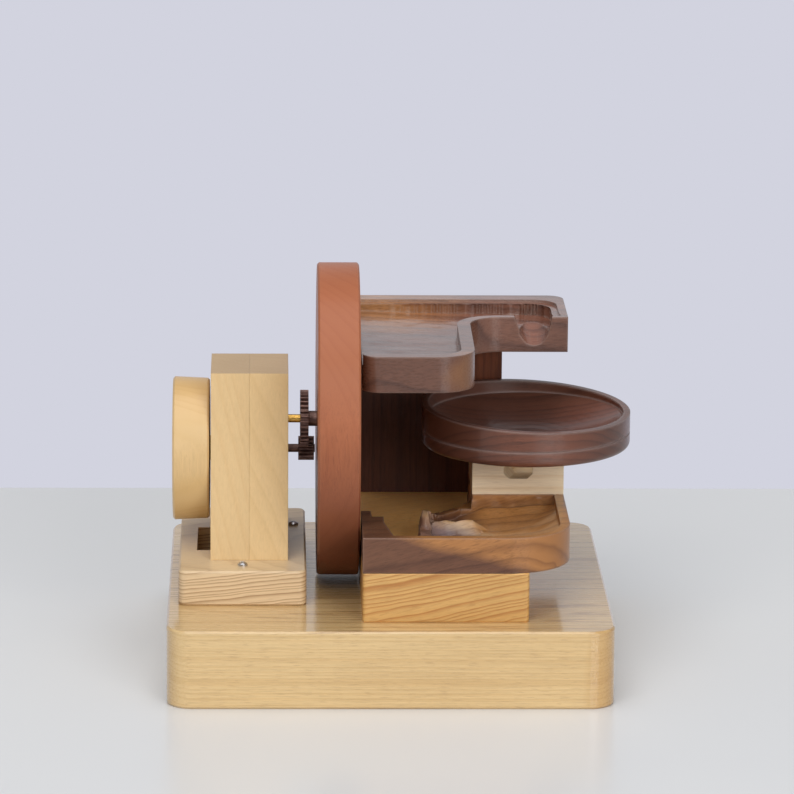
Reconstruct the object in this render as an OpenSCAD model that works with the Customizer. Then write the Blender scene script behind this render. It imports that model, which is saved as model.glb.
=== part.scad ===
// Wooden marble machine. A hand knob turns a lift wheel through a pair of gears. The wheel carries
// marbles from the lower tray up to the top tray, and they roll back down through the bowl.
// X runs to the right, Y to the back and Z up. The origin is the middle of the base's underside,
// and the wheel's shaft lies in the plane Y = 0.

/* [Base board] */
// Width of the base board
base_w = 210; // [200:1:260]
// Depth of the base board
base_d = 205; // [185:1:260]
// Thickness of the base board
base_t = 37.5; // [25:0.5:50]
// Radius of the base board's upright corners
base_corner_r = 12; // [4:1:20]
// Width of the eased edges on the boards
edge_ease = 0.9; // [0.4:0.1:2]

/* [Lift wheel] */
// Radius of the lift wheel
wheel_r = 75.2; // [70:0.1:82]
// Thickness of the lift wheel
wheel_t = 20; // [18:0.5:26]
// Gap between the wheel and the base under it
wheel_lift = 2.7; // [1.5:0.1:6]
// Gap between the wheel's right face and the tracks
wheel_gap = 0.9; // [0.5:0.1:2]
// Diameter of the marbles that it lifts
marble_d = 11; // [9:0.5:12]
// Number of marble pockets
pocket_count = 8; // [4:1:10]
// Diameter of a marble pocket
pocket_d = 13; // [12.5:0.1:15]
// Depth of a marble pocket along its own axis
pocket_depth = 13; // [10:0.5:15]
// Outward lean of a pocket, which holds a marble at the bottom and lets it out at the top
pocket_tilt = 10; // [4:1:15]

/* [Shafts and gears] */
// Diameter of both shafts
shaft_d = 4; // [3:0.1:5]
// Module of the gear pair
gear_module = 0.8; // [0.7:0.01:0.9]
// Teeth on the driven gear
gear_teeth = 33; // [30:1:36]
// Teeth on the pinion
pinion_teeth = 12; // [11:1:15]
// Thickness of the driven gear
gear_t = 4; // [3:0.1:5]
// Diameter of the driven gear's hub
hub_d = 7.4; // [6.5:0.1:10]
// Length of the driven gear's hub, which spaces the gear from the wheel
hub_l = 4; // [3.5:0.1:7]
// Width of the pinion
pinion_t = 7.6; // [6.5:0.1:8]
// Gap between the post and the driven gear
gear_gap = 5.8; // [4:0.1:9]
// Angle at which the drive shaft lies behind straight down from the wheel shaft
drive_angle = 24; // [0:1:40]
// Outside diameter of the shaft bushes
bush_d = 7; // [6:0.1:8]
// Length of the shaft bushes
bush_l = 8; // [5:0.5:9]
// Diameter of the shaft collars
collar_d = 9; // [8:0.1:10]
// Width of the shaft collars
collar_w = 5; // [4:0.1:6]

/* [Post and plinth] */
// Thickness of each of the post's two boards
board_t = 18.5; // [17:0.5:22]
// Depth of the post at its foot
post_foot_d = 81; // [66:1:96]
// Depth of the post at its top
post_top_d = 43.6; // [36:0.1:60]
// Height of the post above the wheel shaft
post_rise = 26.2; // [20:0.1:36]
// Depth of the plinth
plinth_d = 121.6; // [110:0.1:150]
// Thickness of the plinth
plinth_t = 17; // [12:0.5:22]
// Reach of the plinth past the post's left face
plinth_left = 15; // [10:0.1:17]
// Reach of the plinth past the post's right face
plinth_right = 8.7; // [6:0.1:11]
// Radius of the plinth's upright corners
plinth_corner_r = 4; // [2.5:0.5:8]
// Depth of the mortise slot in the plinth
slot_d = 43.4; // [30:0.1:54]
// Reach of the slot past the post's left face
slot_left = 6.6; // [4.5:0.1:8]
// Distance of the slot's right end inside the post's right face
slot_inset = 6; // [4:0.1:10]

/* [Hand knob] */
// Radius of the hand knob at its outer face
knob_r = 34.6; // [28:0.1:38]
// Thickness of the hand knob
knob_t = 17.6; // [15:0.1:20]
// How much smaller the knob's radius is at the post
knob_taper = 0.7; // [0:0.1:2]
// Diameter of the washer between knob and post
washer_d = 12; // [9:0.1:16]
// Thickness of that washer
washer_t = 0.5; // [0.3:0.1:1]

/* [Track block and back panel] */
// Distance of the tracks' left ends to the left of the middle
track_left = 13.3; // [8:0.1:16]
// Width of the track block
track_w = 78.3; // [72:0.1:90]
// Depth of the track block
track_d = 171.4; // [165:0.1:180]
// Thickness of the track block
track_t = 23.7; // [18:0.1:30]
// Width of the back panel
panel_w = 71.4; // [60:0.1:76]
// Thickness of the back panel
panel_t = 15.8; // [13:0.1:18]
// Height of the back panel
panel_h = 79.5; // [74:0.1:90]

/* [Lower tray] */
// Width of the lower tray
tray_w = 98.5; // [94:0.1:106]
// Thickness of the lower tray
tray_t = 17.1; // [14:0.1:22]
// Radius of the lower tray's overhanging corner
tray_corner_r = 30; // [15:0.5:34]
// Thickness of the lower tray's walls
tray_wall = 4.5; // [3:0.1:6]
// Thickness of the basin's floor at its low, left edge
basin_floor = 4.5; // [3:0.1:6]
// Slope of the basin's floor down to the left
basin_slope = 3.5; // [1:0.1:5]
// Height of the step between the basin and the wheel's bay
step_h = 9.5; // [8.5:0.1:12]
// Width of that step
step_w = 6; // [4:0.1:9]
// Length of the guide wall beside the wheel
guide_l = 51; // [40:0.5:56]

/* [Bowl and its block] */
// Width of the bowl block
block_w = 44.2; // [36:0.1:48]
// Depth of the bowl block
block_d = 43; // [36:0.1:50]
// Height of the bowl block
block_h = 21.4; // [19:0.1:26]
// Distance from the block's front to the bowl's middle
block_front = 16; // [12:0.1:22]
// Distance of the bowl's middle behind the wheel's shaft
bowl_y = 14; // [10:0.5:15]
// Width of the marble channel in the block
channel_w = 13.5; // [12.5:0.1:15]
// Depth of the marble channel
channel_h = 13.6; // [12:0.1:16]
// Distance of the bowl's middle to the right of its block's middle
bowl_shift = 4.3; // [0:0.1:6]
// Outside radius of the bowl
bowl_r = 50.5; // [46:0.1:53]
// Height of the bowl at its middle
bowl_h = 18.9; // [16:0.1:21]
// Slope of the bowl's rim down to the right
rim_lean_right = 2.4; // [0:0.1:3]
// Slope of the bowl's rim down to the front
rim_lean_front = 1.8; // [0:0.1:3]
// Width of the bowl's rim
bowl_rim = 3.3; // [2.5:0.1:5]
// Depth of the upright lip inside the rim
bowl_lip = 4.2; // [3:0.1:6]
// Thickness of the bowl's floor
bowl_floor = 4; // [3:0.1:6]
// Diameter of the hole in the bowl
bowl_hole_d = 13; // [12.5:0.1:13.5]
// Radius of the bowl's lower edge
bowl_edge_r = 2.8; // [1.5:0.1:5]

/* [Top tray] */
// Thickness of the top tray
top_t = 17.3; // [15:0.1:22]
// Width of the lobe beside the wheel
lobe_w = 53.3; // [46:0.1:58]
// Depth of the lobe, from its front to the back of the tray
lobe_d = 140.4; // [130:0.1:150]
// Reach of the arm from the wheel's side
arm_w = 101.7; // [96:0.1:108]
// Depth of the arm
arm_d = 51.2; // [46:0.1:56]
// Thickness of the lobe's walls
lobe_wall = 6.3; // [4:0.1:8]
// Thickness of the arm's walls
arm_wall = 4; // [3:0.1:6]
// Thickness of the tray's back wall
back_wall = 10.2; // [8.5:0.1:12]
// Radius of the lobe's right front corner
lobe_corner_r = 18; // [10:0.5:22]
// Radius of the hollow corner between lobe and arm
elbow_r = 16; // [8:0.5:20]
// Thickness of the floor beside the wheel
top_floor = 12; // [10:0.1:13]
// Slope of the floor down to the right
top_slope = 1; // [0.5:0.1:1.5]
// Width of the ledge along the back and the right end
ledge_w = 3.2; // [2:0.1:5]
// Drop from the rim to that ledge
ledge_drop = 1.3; // [0.8:0.1:2.5]
// Width of the spout notch
spout_w = 12.7; // [12.2:0.1:15]
// Distance of the spout's middle from the arm's right end
spout_inset = 16.5; // [13:0.1:22]
// Height of the spout's lip above the tray's underside
spout_lip = 3.6; // [2:0.1:5]
// Fall of the spout's floor to the front
spout_fall = 20; // [12:1:25]

/* [Fasteners] */
// Diameter of the dowels
dowel_d = 6; // [4:0.1:7]
// Depth to which a dowel enters each piece
dowel_in = 9; // [6:0.5:10]
// Diameter of the plinth screws' heads
screw_head_d = 4.8; // [4:0.1:6]
// Diameter of the plinth screws' shanks
screw_d = 3; // [2.5:0.1:3.5]
// Diameter of the screws under the track block
track_screw_d = 4; // [3:0.1:5]
// Diameter of the set screws in the collars
set_screw_d = 2; // [1.5:0.1:2.5]

/* [Clearances] */
// Radial clearance of a shaft in its bush
run_clear = 0.05; // [0.03:0.01:0.08]
// Gap at the end of a part that turns beside a fixed one
end_gap = 0.25; // [0.2:0.05:0.4]
// Gap round a tenon in its slot
fit_gap = 0.15; // [0.05:0.05:0.3]
// Backlash of the gear pair, measured along the pitch circle
backlash = 0.24; // [0.2:0.02:0.4]

/* [Hidden] */
$fn = 64;
// Overlap of a cut past the face that it opens
past = 1;

// Places along X, from the tracks on the right to the knob on the left
track_x = -track_left;
wheel_right = track_x - wheel_gap;
wheel_left = wheel_right - wheel_t;
gear_right = wheel_left - hub_l;
gear_left = gear_right - gear_t;
post_right = gear_left - gear_gap;
post_seam = post_right - board_t;
post_left = post_seam - board_t;
knob_right = post_left - end_gap - washer_t;
knob_left = knob_right - knob_t;
tray_right = track_x + tray_w;
block_x = tray_right - block_w / 2;
bowl_x = block_x + bowl_shift;
spout_x = track_x + arm_w - spout_inset;

// Places along Y
track_front = -track_d / 2;
track_back = track_d / 2;
panel_front = track_back - panel_t;
lobe_front = track_back - lobe_d;
arm_front = track_back - arm_d;
block_y0 = bowl_y - block_front;
block_y1 = block_y0 + block_d;

// Places along Z
base_top = base_t;
plinth_top = base_top + plinth_t;
wheel_z = base_top + wheel_lift + wheel_r;
post_top = wheel_z + post_rise;
track_top = base_top + track_t;
tray_top = track_top + tray_t;
block_top = tray_top + block_h;
panel_top = track_top + panel_h;
top_rim = panel_top + top_t;

// The gear pair: long teeth on the pinion and short ones on the gear keep its roots strong
pressure_angle = 20;
tooth_shift = 0.3;
pair_d = gear_module * (gear_teeth + pinion_teeth) / 2;
wheel_axis = [0, wheel_z];
drive_axis = [pair_d * sin(drive_angle), wheel_z - pair_d * cos(drive_angle)];
pair_angle = drive_angle - 90;
post_y = drive_axis[0] / 2;

// Collars sit in pockets at the seam between the post's boards
pocket_play = 1;
collar_pocket_d = collar_d + 2 * pocket_play;
collar_right = post_seam - end_gap;
collar_left = collar_right - collar_w;
collar_floor = collar_left - end_gap;
clear_hole_d = shaft_d + 1;
bore_d = shaft_d + 2 * run_clear;

// Shaft ends
wheel_shaft_left = collar_floor - bush_l;
wheel_shaft_right = wheel_right - wheel_t / 4;
knob_bore = knob_t * 0.8;
pinion_lead = 0.37;
pinion_left = gear_left + gear_t / 2 - pinion_lead * pinion_t;
drive_shaft_right = max(pinion_left + pinion_t + end_gap, wheel_left - 3 * end_gap);

// The plinth and its screws
plinth_x0 = post_left - plinth_left;
plinth_x1 = post_right + plinth_right;
plinth_y0 = post_y - plinth_d / 2;
plinth_y1 = post_y + plinth_d / 2;
slot_x0 = post_left - slot_left;
slot_x1 = post_right - slot_inset;
slot_y0 = post_y - slot_d / 2;
tenon_x0 = post_left + 2;
tenon_h = plinth_t - 1;
screw_edge = 11.2;
screw_gap = 0.5;
plinth_mid_x = (plinth_x0 + plinth_x1) / 2;
plinth_screw_places = [[plinth_mid_x, plinth_y0 + screw_edge],
                       [plinth_mid_x, plinth_y1 - screw_edge],
                       [post_right + screw_head_d / 2 + screw_gap, post_y + (slot_d + screw_edge) / 2]];
screw_l = plinth_t + 12;
screw_head_h = 1.8;

// Screws that hold the track block from under the base
track_screw_inset = 16;
track_screw_sink = 2;
track_screw_l = base_t - track_screw_sink + 15;
track_screw_head_d = 2 * track_screw_d;
track_screw_places = [for (x = [track_x + track_screw_inset, track_x + track_w - track_screw_inset],
                           y = [track_front + 2 * track_screw_inset, track_back - 2 * track_screw_inset]) [x, y]];

// The pockets meet a marble that rolls on the track block
pocket_circle_r = wheel_z - track_top - marble_d / 2;

// The lower tray: the bay beside the wheel, the basin, and the curved step between them
inner_front = track_front + tray_wall;
inner_right = tray_right - tray_wall;
platform_x = tray_right - block_w;
platform_y1 = block_y1 + 3;
bay_w = 27.6;
bend_reach = [-28, 23];
sill_reach = 56;
step_x = track_x + bay_w;
step_bend_y0 = block_y0 + bend_reach[0];
step_bend_y1 = block_y0 + bend_reach[1];
sill_y = block_y0 - sill_reach;
bend_steps = 10;

// The guide wall widens towards the front in two carved steps
guide_y = track_front + guide_l;
guide_widths = [4.7, 10.5, 14.5];
guide_step = 10.6;

// The top tray's hollow
lobe_right = track_x + lobe_w;
arm_right = track_x + arm_w;
hollow_right = arm_right - arm_wall;
hollow_back = track_back - back_wall;
lobe_hollow_right = lobe_right - lobe_wall;
arm_hollow_front = arm_front + arm_wall;
elbow_inner_r = elbow_r + arm_wall;
heel_r = 8;
heel_inner_r = 12;
spout_flare = 2;
scoop_l = 30;

// Places of the dowels
dowel_edge = 10;
post_dowel_places = [[post_y, plinth_top + 2 * dowel_d], [post_y, post_top - dowel_edge]];
tray_dowel_places = [for (y = [block_y0 + dowel_edge, platform_y1 - dowel_edge]) [platform_x + dowel_edge, y]];
panel_dowel_x = [track_x + 1.5 * dowel_edge, track_x + panel_w - 1.5 * dowel_edge];
panel_foot_places = [for (x = panel_dowel_x) [x, track_back - panel_t / 2]];
panel_top_places = [for (x = panel_dowel_x) [x, track_back - back_wall / 2]];
block_dowel_x = block_w / 2 - dowel_d;
block_dowel_places = [for (side = [-1, 1]) [block_x + side * block_dowel_x, block_y1 - 3 * dowel_d]];

// The channel runs from under the bowl's hole to the middle of the block's front
channel_turn = atan2(bowl_shift, block_front);
channel_l = (block_front + channel_w * sin(channel_turn)) / cos(channel_turn);
channel_corner = 2.5;

// Woods and metals
oak = "#d1a661";
maple = "#ddb87c";
pale_maple = "#cfb48c";
walnut = "#6f4a36";
dark_walnut = "#45291f";
padauk = "#8f4a32";
brass = "#c9a24a";
steel = "#b9bbbf";
dark_gear = "#5a3a30";
birch = "#d8c19a";

// Rectangle with cut corners
function cut_rect(w, h, c) = [[c, 0], [w - c, 0], [w, c], [w, h - c], [w - c, h], [c, h], [0, h - c], [0, c]];

// Board between two corners with round upright corners and eased edges
module eased_board(lo, hi, r, c) {
    size = hi - lo;
    translate(lo) {
        translate([r, 0, 0]) rotate([90, 0, 90])
            linear_extrude(size[0] - 2 * r) polygon(cut_rect(size[1], size[2], c));
        translate([0, size[1] - r, 0]) rotate([90, 0, 0])
            linear_extrude(size[1] - 2 * r) polygon(cut_rect(size[0], size[2], c));
        for (x = [r, size[0] - r], y = [r, size[1] - r])
            translate([x, y, 0]) eased_disc(r, r, size[2], c);
    }
}

// Turned disc with eased edges, from radius r0 at its foot to r1 at its top
module eased_disc(r0, r1, h, c) {
    rotate_extrude() polygon([[0, 0], [r0 - c, 0], [r0, c], [r1, h - c], [r1 - c, h], [0, h]]);
}

// Plain box between two corners
module box(lo, hi) { translate(lo) cube(hi - lo); }

// What is drawn along Z comes to lie along X, on an axis given by its Y and Z
module on_axis(x, axis) { translate([x, axis[0], axis[1]]) rotate([90, 0, 90]) children(); }

// Upright pins or holes at places in plan
module uprights(places, z0, z1, d) {
    for (p = places) translate([p[0], p[1], z0]) cylinder(h = z1 - z0, d = d);
}

// Dowels across a flat joint at height z, and the holes that they fill
module dowels(places, z) { uprights(places, z - dowel_in, z + dowel_in, dowel_d); }

// Involute function, in degrees
function inv(a) = tan(a) * 180 / PI - a;

// Half the angle that a tooth takes at radius r
function tooth_half(r, base_r, pitch_half) = pitch_half + inv(pressure_angle) - inv(acos(min(1, base_r / r)));

// One gear as a flat outline: teeth, profile shift, and a tooth centred on angle turn
module gear_outline(teeth, shift, turn) {
    pitch_r = gear_module * teeth / 2;
    base_r = pitch_r * cos(pressure_angle);
    tip_r = pitch_r + gear_module * (1 + shift);
    root_r = pitch_r - gear_module * (1.25 - shift);
    width = gear_module * (PI / 2 + 2 * shift * tan(pressure_angle)) - backlash / 2;
    pitch_half = width / pitch_r * 90 / PI;
    flank_r0 = max(base_r, root_r);
    flank = [root_r, flank_r0, flank_r0 + (tip_r - flank_r0) * 0.5, tip_r];
    half = [for (r = flank) tooth_half(max(r, base_r), base_r, pitch_half)];
    last = len(flank) - 1;
    polygon([for (i = [0:teeth - 1], k = [0:2 * last + 1])
        let (j = k <= last ? k : 2 * last + 1 - k,
             side = k <= last ? -1 : 1,
             a = turn + i * 360 / teeth + side * half[j])
        flank[j] * [cos(a), sin(a)]]);
}

// Base: the board that everything stands on
module base_board() {
    color(oak) difference() {
        eased_board([-base_w / 2, -base_d / 2, 0], [base_w / 2, base_d / 2, base_top], base_corner_r, edge_ease);
        plinth_screw_holes();
        track_screw_holes();
    }
}

// Drive side: plinth, its screws and the two-board post
module drive_plinth() {
    color(maple) difference() {
        eased_board([plinth_x0, plinth_y0, base_top], [plinth_x1, plinth_y1, plinth_top],
                    plinth_corner_r, edge_ease);
        box([slot_x0, slot_y0, base_top - past], [slot_x1, slot_y0 + slot_d, plinth_top + past]);
        plinth_screw_holes();
    }
}

module plinth_screw_holes() {
    uprights(plinth_screw_places, plinth_top - screw_l, plinth_top + past, screw_d);
}

module plinth_screws() {
    recess = screw_head_d * 0.55;
    blade = screw_head_d * 0.16;
    color(steel) for (p = plinth_screw_places) translate([p[0], p[1], plinth_top]) {
        difference() {
            intersection() {
                cylinder(h = screw_head_h, d = screw_head_d);
                translate([0, 0, screw_head_h - screw_head_d * 0.75]) sphere(d = 1.5 * screw_head_d);
            }
            for (turn = [0, 90]) rotate(turn)
                translate([-recess / 2, -blade / 2, screw_head_h * 0.45]) cube([recess, blade, screw_head_h]);
        }
        translate([0, 0, -screw_l]) cylinder(h = screw_l, d = screw_d);
    }
}

// Side view of the post: wide at its foot and narrow at its top
module post_outline() {
    polygon([[post_y - post_foot_d / 2, plinth_top], [post_y + post_foot_d / 2, plinth_top],
             [post_y + post_top_d / 2, post_top], [post_y - post_top_d / 2, post_top]]);
}

// One post board from x0 to x1, with its tenon from t0 to t1
module post_board(x0, x1, t0, t1) {
    on_axis(x0, [0, 0]) linear_extrude(x1 - x0) post_outline();
    box([t0, slot_y0 + fit_gap, plinth_top - tenon_h], [t1, slot_y0 + slot_d - fit_gap, plinth_top]);
}

module shaft_hole(axis, x0, x1, d) { on_axis(x0, axis) cylinder(h = x1 - x0, d = d); }

module post_outer_board() {
    color(maple) difference() {
        post_board(post_left, post_seam, tenon_x0, post_seam);
        for (axis = [wheel_axis, drive_axis]) shaft_hole(axis, collar_floor, post_seam + past, collar_pocket_d);
        shaft_hole(wheel_axis, wheel_shaft_left - end_gap, collar_floor, bush_d);
        shaft_hole(drive_axis, post_left - past, post_left + bush_l, bush_d);
        shaft_hole(drive_axis, post_left + bush_l, collar_floor, clear_hole_d);
        post_dowels_solid();
    }
}

module post_inner_board() {
    color(maple) difference() {
        post_board(post_seam, post_right, post_seam, slot_x1 - fit_gap);
        for (axis = [wheel_axis, drive_axis]) {
            shaft_hole(axis, post_seam - past, post_right - bush_l, clear_hole_d);
            shaft_hole(axis, post_right - bush_l, post_right + past, bush_d);
        }
        post_dowels_solid();
    }
}

module post_dowels_solid() {
    for (p = post_dowel_places) on_axis(post_seam - dowel_in, p) cylinder(h = 2 * dowel_in, d = dowel_d);
}

module post_dowels() { color(birch) post_dowels_solid(); }

// Bush that starts at x
module bush(axis, x) {
    color(brass) on_axis(x, axis) difference() {
        cylinder(h = bush_l, d = bush_d);
        translate([0, 0, -past]) cylinder(h = bush_l + 2 * past, d = bore_d);
    }
}

module wheel_bush_outer() { bush(wheel_axis, wheel_shaft_left); }
module wheel_bush_inner() { bush(wheel_axis, post_right - bush_l); }
module drive_bush_outer() { bush(drive_axis, post_left); }
module drive_bush_inner() { bush(drive_axis, post_right - bush_l); }

// Track side: block, lower tray, back panel and top tray
module track_block() {
    color(oak) difference() {
        eased_board([track_x, track_front, base_top], [track_x + track_w, track_back, track_top],
                    2 * edge_ease, edge_ease / 2);
        track_screw_holes();
        dowels(tray_dowel_places, track_top);
        dowels(panel_foot_places, track_top);
    }
}

module track_screw_holes() {
    track_screws_solid();
    uprights(track_screw_places, -past, track_screw_sink, track_screw_head_d);
}

module track_screws_solid() {
    head_h = (track_screw_head_d - track_screw_d) / 2;
    for (p = track_screw_places) translate([p[0], p[1], track_screw_sink]) {
        cylinder(h = head_h, d1 = track_screw_head_d, d2 = track_screw_d);
        cylinder(h = track_screw_l, d = track_screw_d);
    }
}

module track_screws() { color(steel) track_screws_solid(); }

// Left edge of the step at share t of its bend, which swings from the bay to the bowl block
function step_edge(t) = [step_x + (platform_x - step_x) * (1 - cos(180 * t)) / 2,
                         step_bend_y0 + (step_bend_y1 - step_bend_y0) * t];
step_bend = [for (i = [0:bend_steps]) step_edge(i / bend_steps)];

module tray_blank() {
    h = tray_t;
    translate([0, 0, track_top]) {
        box([track_x, track_front, 0], [tray_right - tray_corner_r, platform_y1, h]);
        box([track_x, track_front + tray_corner_r, 0], [tray_right, platform_y1, h]);
        translate([tray_right - tray_corner_r, track_front + tray_corner_r, 0]) cylinder(h = h, r = tray_corner_r);
    }
}

// Bay beside the wheel, where the track block is the floor; the guide wall stays at its front
module tray_bay() {
    translate([0, 0, track_top - past]) linear_extrude(tray_t + 2 * past)
        polygon(concat(
            [[track_x - past, platform_y1 + past], [track_x - past, guide_y]],
            [for (i = [0:1], end = [0, 1]) [track_x + guide_widths[i], guide_y - (i + end) * guide_step]],
            [[track_x + guide_widths[2], inner_front], [step_x, inner_front]],
            step_bend,
            [[platform_x, platform_y1 + past]]));
}

// Basin under the bowl's channel, with a floor that slopes to the left
module tray_basin() {
    r = tray_corner_r - tray_wall;
    intersection() {
        difference() {
            union() {
                box([step_x - past, inner_front, track_top], [inner_right - r, block_y0, tray_top + past]);
                box([step_x - past, inner_front + r, track_top], [inner_right, block_y0, tray_top + past]);
                translate([inner_right - r, inner_front + r, track_top]) cylinder(h = tray_t + past, r = r);
            }
            tray_step(track_top - past, tray_top + 2 * past);
        }
        translate([step_x, 0, track_top + basin_floor]) rotate([0, -basin_slope, 0])
            box([-past, track_front, 0], [2 * tray_w, track_back, 3 * tray_t]);
    }
}

// Strip of the step in plan, from z0 to z1
module tray_step(z0, z1) {
    translate([0, 0, z0]) linear_extrude(z1 - z0)
        polygon(concat(
            [[step_x, sill_y]],
            step_bend,
            [for (i = [bend_steps:-1:0]) step_bend[i] + [step_w, 0]],
            [[step_x + step_w, sill_y]]));
}

module lower_tray() {
    color(walnut) difference() {
        tray_blank();
        tray_bay();
        tray_basin();
        tray_step(track_top + step_h, tray_top + past);
        intersection() {
            box([step_x, block_y0, track_top + step_h], [platform_x, step_bend_y1, tray_top + past]);
            tray_blank();
        }
        dowels(tray_dowel_places, track_top);
        dowels(block_dowel_places, tray_top);
    }
}

module tray_dowels() { color(birch) dowels(tray_dowel_places, track_top); }

module back_panel() {
    color(dark_walnut) difference() {
        box([track_x, panel_front, track_top], [track_x + panel_w, track_back, panel_top]);
        dowels(panel_foot_places, track_top);
        dowels(panel_top_places, panel_top);
    }
}

module panel_foot_dowels() { color(birch) dowels(panel_foot_places, track_top); }
module panel_top_dowels() { color(birch) dowels(panel_top_places, panel_top); }

// Solid outline of the top tray: lobe, arm and the hollow corner between them
module top_blank() {
    translate([0, 0, panel_top]) {
        box([track_x + heel_r, lobe_front, 0], [lobe_right - lobe_corner_r, track_back, top_t]);
        box([track_x, lobe_front + heel_r, 0], [lobe_right - lobe_corner_r, track_back, top_t]);
        box([track_x + heel_r, lobe_front + lobe_corner_r, 0], [lobe_right, track_back, top_t]);
        translate([lobe_right - lobe_corner_r, lobe_front + lobe_corner_r, 0]) cylinder(h = top_t, r = lobe_corner_r);
        translate([track_x + heel_r, lobe_front + heel_r, 0]) cylinder(h = top_t, r = heel_r);
        box([track_x, arm_front, 0], [arm_right - heel_r, track_back, top_t]);
        box([track_x, arm_front, 0], [arm_right, track_back - heel_r, top_t]);
        translate([arm_right - heel_r, track_back - heel_r, 0]) cylinder(h = top_t, r = heel_r);
        difference() {
            box([lobe_right - past, arm_front - elbow_r, 0], [lobe_right + elbow_r, arm_front + past, top_t]);
            translate([lobe_right + elbow_r, arm_front - elbow_r, -past]) cylinder(h = top_t + 2 * past, r = elbow_r);
        }
    }
}

// Plan of the hollow, as deep as the tray, drawn in by a ledge along its back and right end
module top_hollow_plan(ledge) {
    back = hollow_back - ledge;
    right = hollow_right - ledge;
    r = lobe_corner_r - lobe_wall;
    h = top_t + past;
    front = lobe_front + lobe_wall;
    elbow_x = lobe_hollow_right + elbow_inner_r;
    elbow_y = arm_hollow_front - elbow_inner_r;
    translate([0, 0, panel_top]) {
        box([track_x - past, front, 0], [lobe_hollow_right - r, back, h]);
        box([track_x - past, front + r, 0], [lobe_hollow_right, back, h]);
        translate([lobe_hollow_right - r, front + r, 0]) cylinder(h = h, r = r);
        box([track_x, arm_hollow_front, 0], [right - heel_inner_r, back, h]);
        box([track_x, arm_hollow_front, 0], [right, back - heel_inner_r, h]);
        translate([right - heel_inner_r, back - heel_inner_r, 0]) cylinder(h = h, r = heel_inner_r);
        difference() {
            box([lobe_hollow_right - past, elbow_y, 0], [elbow_x, arm_hollow_front + past, h]);
            translate([elbow_x, elbow_y, -past]) cylinder(h = h + 2 * past, r = elbow_inner_r);
        }
    }
}

// The hollow with its floor sloping to the right, down to the spout
module top_hollow() {
    intersection() {
        top_hollow_plan(0);
        translate([0, 0, top_rim - ledge_drop])
            box([track_x - past, lobe_front, 0], [arm_right, track_back, top_t]);
    }
    intersection() {
        top_hollow_plan(ledge_w);
        translate([track_x, 0, panel_top + top_floor]) rotate([0, top_slope, 0])
            box([-2 * past, lobe_front - past, 0], [arm_w + past, track_back + past, 3 * top_t]);
    }
}

// Spout: a scoop that falls to the front through the arm's wall, flared at the rim
module spout() {
    r = spout_w / 2;
    flare = r + spout_flare;
    translate([spout_x, arm_front, panel_top + spout_lip + r]) {
        rotate([spout_fall - 90, 0, 0]) translate([0, 0, -arm_wall]) {
            cylinder(h = arm_wall + scoop_l, r = r);
            box([-r, -2 * top_t, 0], [r, 0, arm_wall + scoop_l]);
        }
        translate([0, arm_wall + past, 0]) rotate([90, 0, 0]) linear_extrude(arm_wall + 2 * past)
            polygon([[-r, 0], [r, 0], [flare, top_t], [-flare, top_t]]);
    }
}

module top_tray() {
    color(walnut) difference() {
        top_blank();
        top_hollow();
        spout();
        dowels(panel_top_places, panel_top);
    }
}

module bowl_block() {
    half = channel_w / 2;
    c = channel_corner;
    color(pale_maple) difference() {
        box([block_x - block_w / 2, block_y0, tray_top], [block_x + block_w / 2, block_y1, block_top]);
        translate([bowl_x, bowl_y, block_top - channel_h]) rotate(-channel_turn) {
            rotate([90, 0, 0]) linear_extrude(channel_l + past)
                polygon([[-half, block_h], [-half, c], [c - half, 0], [half - c, 0], [half, c], [half, block_h]]);
            cylinder(h = block_h, d = channel_w);
        }
        dowels(block_dowel_places, tray_top);
    }
}

module bowl_block_dowels() { color(birch) dowels(block_dowel_places, tray_top); }

// Half section of the bowl, as radius and height above the block
module bowl_section() {
    groove_z = bowl_h * 0.4;
    groove = 0.6;
    rim_h = bowl_h + bowl_r * (tan(rim_lean_right) + tan(rim_lean_front));
    lip_r = bowl_r - bowl_rim;
    dish_r = lip_r - 1.2;
    hole_r = bowl_hole_d / 2;
    dish_h = bowl_h - bowl_lip - bowl_floor;
    dish_steps = 10;
    edge_steps = 6;
    edge = [for (i = [0:edge_steps]) let (a = 90 * i / edge_steps)
        [bowl_r - bowl_edge_r + bowl_edge_r * sin(a), bowl_edge_r - bowl_edge_r * cos(a)]];
    dish = [for (i = [dish_steps:-1:0]) let (t = i / dish_steps)
        [hole_r + (dish_r - hole_r) * t, bowl_floor + dish_h * t * t]];
    polygon(concat(
        [[hole_r, 0]],
        edge,
        [[bowl_r, groove_z - groove], [bowl_r - groove, groove_z], [bowl_r, groove_z + groove],
         [bowl_r, rim_h], [lip_r, rim_h], [lip_r, bowl_h - bowl_lip]],
        dish));
}

module bowl() {
    color(dark_walnut) translate([bowl_x, bowl_y, block_top]) difference() {
        rotate_extrude($fn = 96) bowl_section();
        translate([0, 0, bowl_h]) rotate([rim_lean_front, rim_lean_right, 0])
            box([-2 * bowl_r, -2 * bowl_r, 0], [2 * bowl_r, 2 * bowl_r, bowl_h]);
    }
}

// Lift wheel and what turns with it
module lift_wheel() {
    color(padauk) difference() {
        on_axis(wheel_left, wheel_axis) eased_disc(wheel_r, wheel_r, wheel_t, edge_ease);
        shaft_hole(wheel_axis, wheel_left - past, wheel_shaft_right, shaft_d);
        for (i = [0:pocket_count - 1]) on_axis(wheel_right, wheel_axis)
            rotate(i * 360 / pocket_count - 90) translate([pocket_circle_r, 0, 0]) rotate([0, -pocket_tilt, 0])
                translate([0, 0, -pocket_depth]) cylinder(h = 2 * pocket_depth, d = pocket_d);
    }
}

module wheel_shaft() {
    color(brass) shaft_hole(wheel_axis, wheel_shaft_left, wheel_shaft_right, shaft_d);
}

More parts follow.
